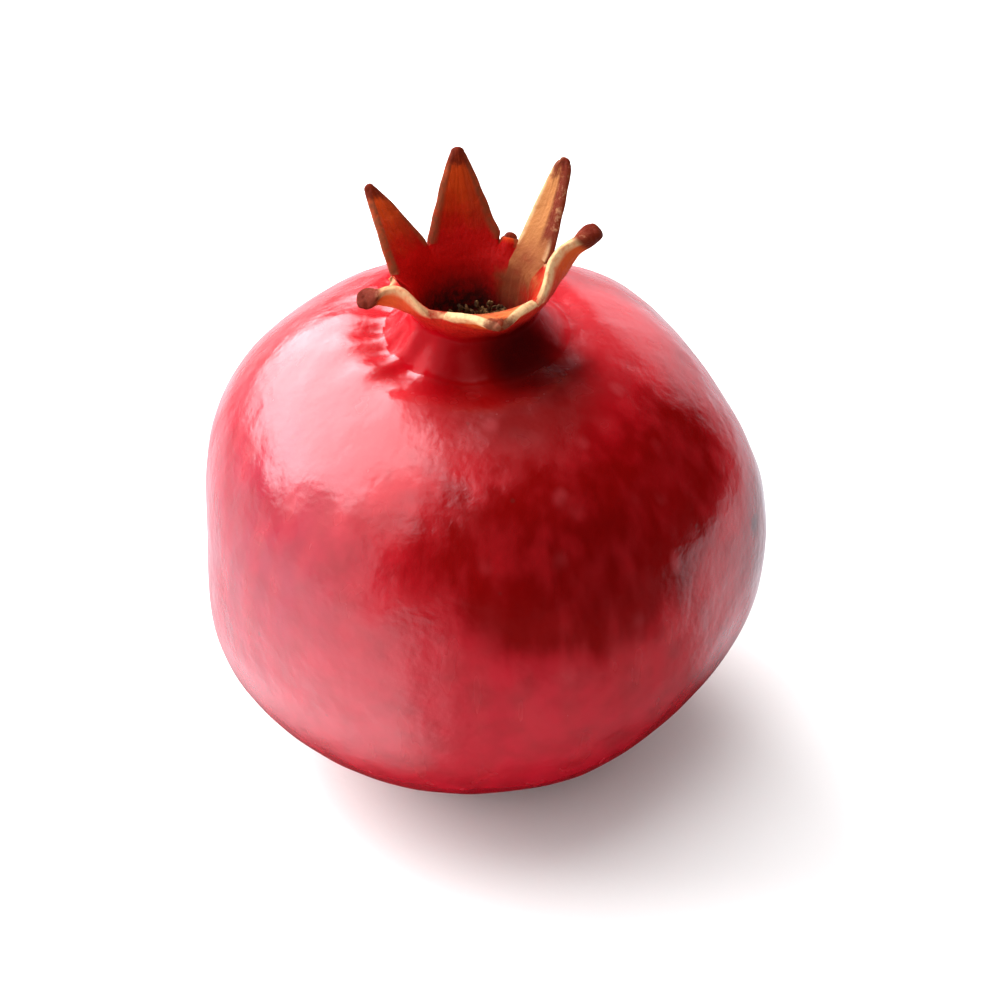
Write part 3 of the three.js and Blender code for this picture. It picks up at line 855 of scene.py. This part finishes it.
def fruit_material(name, covering=None, gloss=RIND_GLOSS):
    """The rind's waxy red, with a dull covering that takes over where it lies."""
    shader = Shader(name)
    where = shader.millimetres()
    streaked = shader.millimetres(stretch=(1, 1, 0.2))
    clouds = shader.noise(where, 26, detail=3, roughness=0.6)
    streaks = shader.noise(streaked, 4, detail=2)
    uneven = shader.plus(shader.times(clouds, 0.4), shader.times(streaks, 0.2))
    # Deeper red on the front-right: partly the rind's own crimson, partly painted shade.
    paleness = shader.apart(where, DEEP_AND_SHADED_SIDE, 1.7)
    for side in DEEP_AND_SHADED_EDGES:
        from_arm = shader.plus(shader.apart(where, side, 1.3), 0.28)
        paleness = shader.math("MINIMUM", paleness, from_arm)
    paleness = shader.plus(paleness, uneven)
    deep = shader.rise(paleness, 0.98, 0.72)
    colour = rind_colour(shader, where, clouds, streaks, deep, paleness)
    roughness = shader.rise(streaks, 0.35, 0.7, 0.2, 0.28)
    roughness = shader.math("SUBTRACT", roughness, shader.times(deep, 0.07))
    normal = shader.bump(shader.noise(where, 4.5, detail=2), 0.22)
    normal = shader.bump(shader.noise(where, 0.9, detail=3), 0.04, normal)
    if covering:
        grain = shader.noise(where, 1.1, detail=4, roughness=0.65)
        blotches = shader.noise(where, 2.6, detail=3, roughness=0.6)
        dull_colour, dull = covering(shader, grain, blotches)
        colour = shader.mix(dull, colour, dull_colour)
        roughness = shader.mix(dull, roughness, shader.rise(grain, 0.3, 0.7, 0.5, 0.75))
        fibres = shader.noise(streaked, 0.5, detail=3)
        creased = shader.times(shader.plus(fibres, grain), dull)
        normal = shader.bump(creased, 0.16, normal)
    looks = dict(base_color=colour, roughness=roughness, normal=normal)
    return shader.finish(specular_ior_level=gloss, **looks)


def dried_material(name, dark, light, size):
    """Dried flower parts: a dull brown, from dark to light in small blotches."""
    shader = Shader(name)
    where = shader.millimetres()
    blotches = shader.noise(where, size, detail=3, roughness=0.65)
    colour = shader.mix(shader.rise(blotches, 0.35, 0.65), dark, light)
    normal = shader.bump(shader.noise(where, size / 3, detail=2), 0.08)
    roughness = shader.rise(blotches, 0.3, 0.7, 0.85, 0.6)
    looks = dict(base_color=colour, roughness=roughness, normal=normal)
    return shader.finish(specular_ior_level=DRIED_GLOSS, **looks)


# ---------------------------------------------------------------- the object


def dress(skin, name, material, node, offset):
    piece = skin.piece(name, offset)
    piece.data.materials.append(material)
    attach(piece, "root")
    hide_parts(node)
    return piece


skin = fruit_skin()
low_corner, high_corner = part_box("fruit")
cad_middle = (np.array(low_corner) + np.array(high_corner)) / 2 / MM
every_point = np.vstack(skin.points)
own_middle = (every_point.min(0) + every_point.max(0)) / 2
offset = np.array([cad_middle[0] - own_middle[0], cad_middle[1] - own_middle[1], 0])
fruit = dress(skin, "rind_and_crown", fruit_material("pomegranate_rind"), "fruit", offset)
fruit.data.materials.append(fruit_material("calyx_leather", leather, LEATHER_GLOSS))
fruit.data.materials.append(fruit_material("stem_cork", cork))
centres = np.empty((len(fruit.data.polygons), 3))
fruit.data.polygons.foreach_get("center", centres.reshape(-1))
centres = centres / MM - offset
off_axis = np.hypot(centres[:, 0], centres[:, 1])
by_neck = (off_axis < HOLLOW_RADIUS) & (centres[:, 2] > CUP_FLOOR - 1)
by_neck |= centres[:, 2] > NECK_HEIGHT
by_scar = (off_axis < FOOT_RADIUS - 1) & (centres[:, 2] < MIDDLE[2])
covered = np.select([by_neck, by_scar], [1, 2]).astype(np.int32)
fruit.data.polygons.foreach_set("material_index", covered)
filaments, anthers = stamen_skins()
for part, name, material, dark, light, size in (
    (filaments, "filaments", "dried_filament", (0.05, 0.015, 0.006), (0.22, 0.09, 0.03), 1.2),
    (anthers, "anthers", "dried_anther", (0.03, 0.012, 0.005), (0.17, 0.09, 0.03), 1.2),
    (style_skin(), "style", "dried_style", (0.08, 0.03, 0.01), (0.3, 0.16, 0.06), 0.9),
    (disc_skin(), "withered_disc", "withered_disc", (0.03, 0.008, 0.004), (0.1, 0.03, 0.012), 1),
):
    dress(part, name, dried_material(material, dark, light, size), "stamens", offset)

# ---------------------------------------------------------------- stage, light and camera


def floor_material():
    """Plain white, with a faint tooth."""
    shader = Shader("pale_floor")
    tooth = shader.bump(shader.noise(shader.millimetres(), 1.5), 0.02)
    return shader.finish(base_color=(0.86, 0.86, 0.86, 1), roughness=0.9, normal=tooth)


bpy.ops.mesh.primitive_plane_add(size=8)
floor = bpy.context.object
floor.name = "floor"
floor.data.materials.append(floor_material())
floor.visible_glossy = False


def only_mirrored(name, width, depth, brightness):
    """A glowing rectangle that nothing but gloss sees."""
    shader = Shader(name)
    mesh = bpy.data.meshes.new(name)
    corners = [(x * width / 2, y * depth / 2, 0) for x, y in ((-1, -1), (1, -1), (1, 1), (-1, 1))]
    mesh.from_pydata(corners, [], [range(4)])
    strength = brightness(shader, shader.millimetres())
    looks = dict(base_color=(0, 0, 0, 1), emission_color=MIRRORED_TINT)
    mesh.materials.append(shader.finish(emission_strength=strength, **looks))
    made = bpy.data.objects.new(name, mesh)
    bpy.context.collection.objects.link(made)
    made.visible_camera = made.visible_diffuse = made.visible_shadow = False
    return made


def floor_glow(shader, where):
    """The floor as the fruit mirrors it: bright all round, but dark in front beyond a pale pool."""
    flat = shader.vector("MULTIPLY", where, (1, 1, 0))
    away = shader.vector("LENGTH", flat, output="Value")
    heading = shader.vector("NORMALIZE", flat)
    front = shader.vector("DOT_PRODUCT", heading, direction(FRONT_AZIMUTH, 0), "Value")
    half = math.radians(FRONT_WIDTH / 2)
    front = shader.rise(front, math.cos(half + FRONT_EDGE), math.cos(half - FRONT_EDGE))
    brightest = shader.vector("DOT_PRODUCT", heading, direction(BRIGHTEST_AZIMUTH, 0), "Value")
    lit = shader.times(shader.rise(front, 1, 0), shader.rise(brightest, 0.4, 1, *FLOOR_GLOW))
    lit = shader.times(lit, shader.rise(away, 40, 64))
    across = shader.vector("DOT_PRODUCT", where, (1, 0, 0), "Value")
    lit = shader.times(lit, shader.rise(across, 300, 170))
    pool = shader.times(shader.rise(away, 130, 85, 0, FRONT_GLOW), shader.rise(away, 40, 60))
    return shader.plus(lit, shader.times(front, pool))


only_mirrored("mirrored_floor", 2.4, 2.4, floor_glow).location = (0, 0, MM)


def facing_fruit(thing, azimuth, elevation, distance):
    """Puts a light or card at a direction and distance from the fruit, turned to it."""
    away = Vector(direction(azimuth, elevation))
    thing.location = Vector((0, 0, 0.04)) + distance * away
    thing.rotation_euler = away.to_track_quat("Z", "Y").to_euler()


def glow(name, azimuth, elevation, size, strength):
    """A soft-edged bright card, half a metre away, that gloss mirrors."""

    def brightness(shader, where):
        """Full in the middle, and fading out towards the edges."""
        share = strength
        for axis, side in zip(((1, 0, 0), (0, 1, 0)), size):
            offset = shader.math("ABSOLUTE", shader.vector("DOT_PRODUCT", where, axis, "Value"))
            share = shader.times(shader.rise(offset, 0.65 * side / MM, 0.35 * side / MM), share)
        return share

    card = only_mirrored(name, 1.3 * size[0], 1.3 * size[1], brightness)
    facing_fruit(card, azimuth, elevation, 0.5)


def softbox(name, azimuth, elevation, distance, size, power):
    """An area light that shades the fruit but isn't mirrored in it."""
    light = bpy.data.lights.new(name, "AREA")
    light.shape = "RECTANGLE"
    light.size, light.size_y = size
    light.energy = power
    made = bpy.data.objects.new(name, light)
    made.visible_glossy = False
    bpy.context.collection.objects.link(made)
    facing_fruit(made, azimuth, elevation, distance)


# Lights as azimuth, elevation, distance, size and power, and cards as azimuth, elevation, size and
# strength.
softbox("window", 146, 31, 0.5, (0.69, 0.53), 7.5)
softbox("overhead", 120, 80, 0.8, (0.8, 0.8), 6)
softbox("left_wall", 212, 24, 0.6, (0.6, 0.45), 1.8)
softbox("back_wall", 60, 15, 0.8, (0.6, 0.45), 1.3)
glow("window_glow", 149, 36, (0.78, 0.5), 9)
glow("window_side_glow", 191, 54, (0.54, 0.46), 7)
glow("curtain_glow", 222, 50, (0.3, 0.24), 3)
glow("left_wall_glow", 208, 12, (0.5, 0.4), 1.6)
glow("back_wall_glow", 60, 12, (0.4, 0.3), 1.2)

world = bpy.data.worlds.new("studio")
bpy.context.scene.world = world
world.use_nodes = True
background = world.node_tree.nodes["Background"].inputs
background["Color"].default_value = (1, 1, 1, 1)
background["Strength"].default_value = 0.48
world.cycles_visibility.glossy = False
bpy.context.scene.view_settings.view_transform = "Standard"

CAMERA_TARGET = Vector((2.2, 2.3, 43.3)) * MM
CAMERA_ELEVATION = math.radians(38)
CAMERA_DISTANCE = 456 * MM
lens = bpy.data.cameras.new("camera")
lens.lens = 100
lens.sensor_width = 36
camera = bpy.data.objects.new("camera", lens)
back = Vector((0, -math.cos(CAMERA_ELEVATION), math.sin(CAMERA_ELEVATION)))
camera.location = CAMERA_TARGET + CAMERA_DISTANCE * back
camera.rotation_euler = back.to_track_quat("Z", "Y").to_euler()
bpy.context.collection.objects.link(camera)
bpy.context.scene.camera = camera
